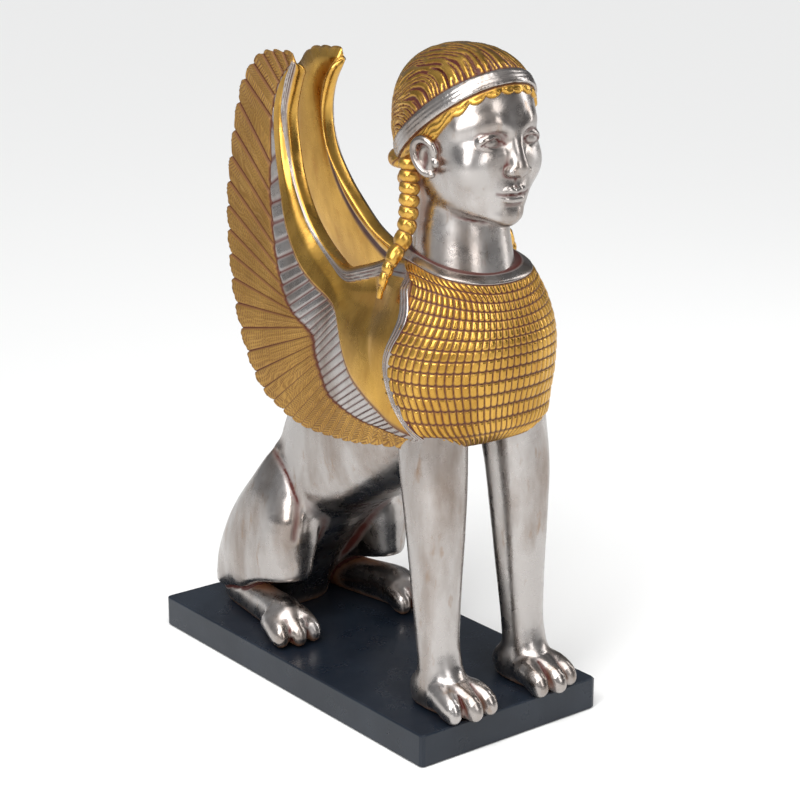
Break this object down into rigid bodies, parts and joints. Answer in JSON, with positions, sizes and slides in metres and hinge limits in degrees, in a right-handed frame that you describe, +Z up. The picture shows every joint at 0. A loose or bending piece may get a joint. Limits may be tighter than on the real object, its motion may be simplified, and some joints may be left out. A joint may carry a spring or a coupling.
{
  "type": "sphinx statue",
  "caption": "Seated winged sphinx with a woman's head, lion's body and raised feathered wings, cast with silver and gold leaf, on a black oblong plinth.",
  "frame": {"origin": "middle of the plinth's underside", "axes": "+Z up, the sphinx faces -Y, its left side is +X"},
  "size_m": [0.202, 0.4256, 0.6009],
  "materials": {
    "silver_leaf": "burnished silver leaf on cast resin with a brown patina in the hollows",
    "gold_leaf": "antiqued gold leaf with dark red-brown lines",
    "black_satin": "satin black paint on a solid board"
  },
  "bodies": {
    "root": {"sphinx": "silver_leaf", "plinth": "black_satin"}
  },
  "joints": []
}
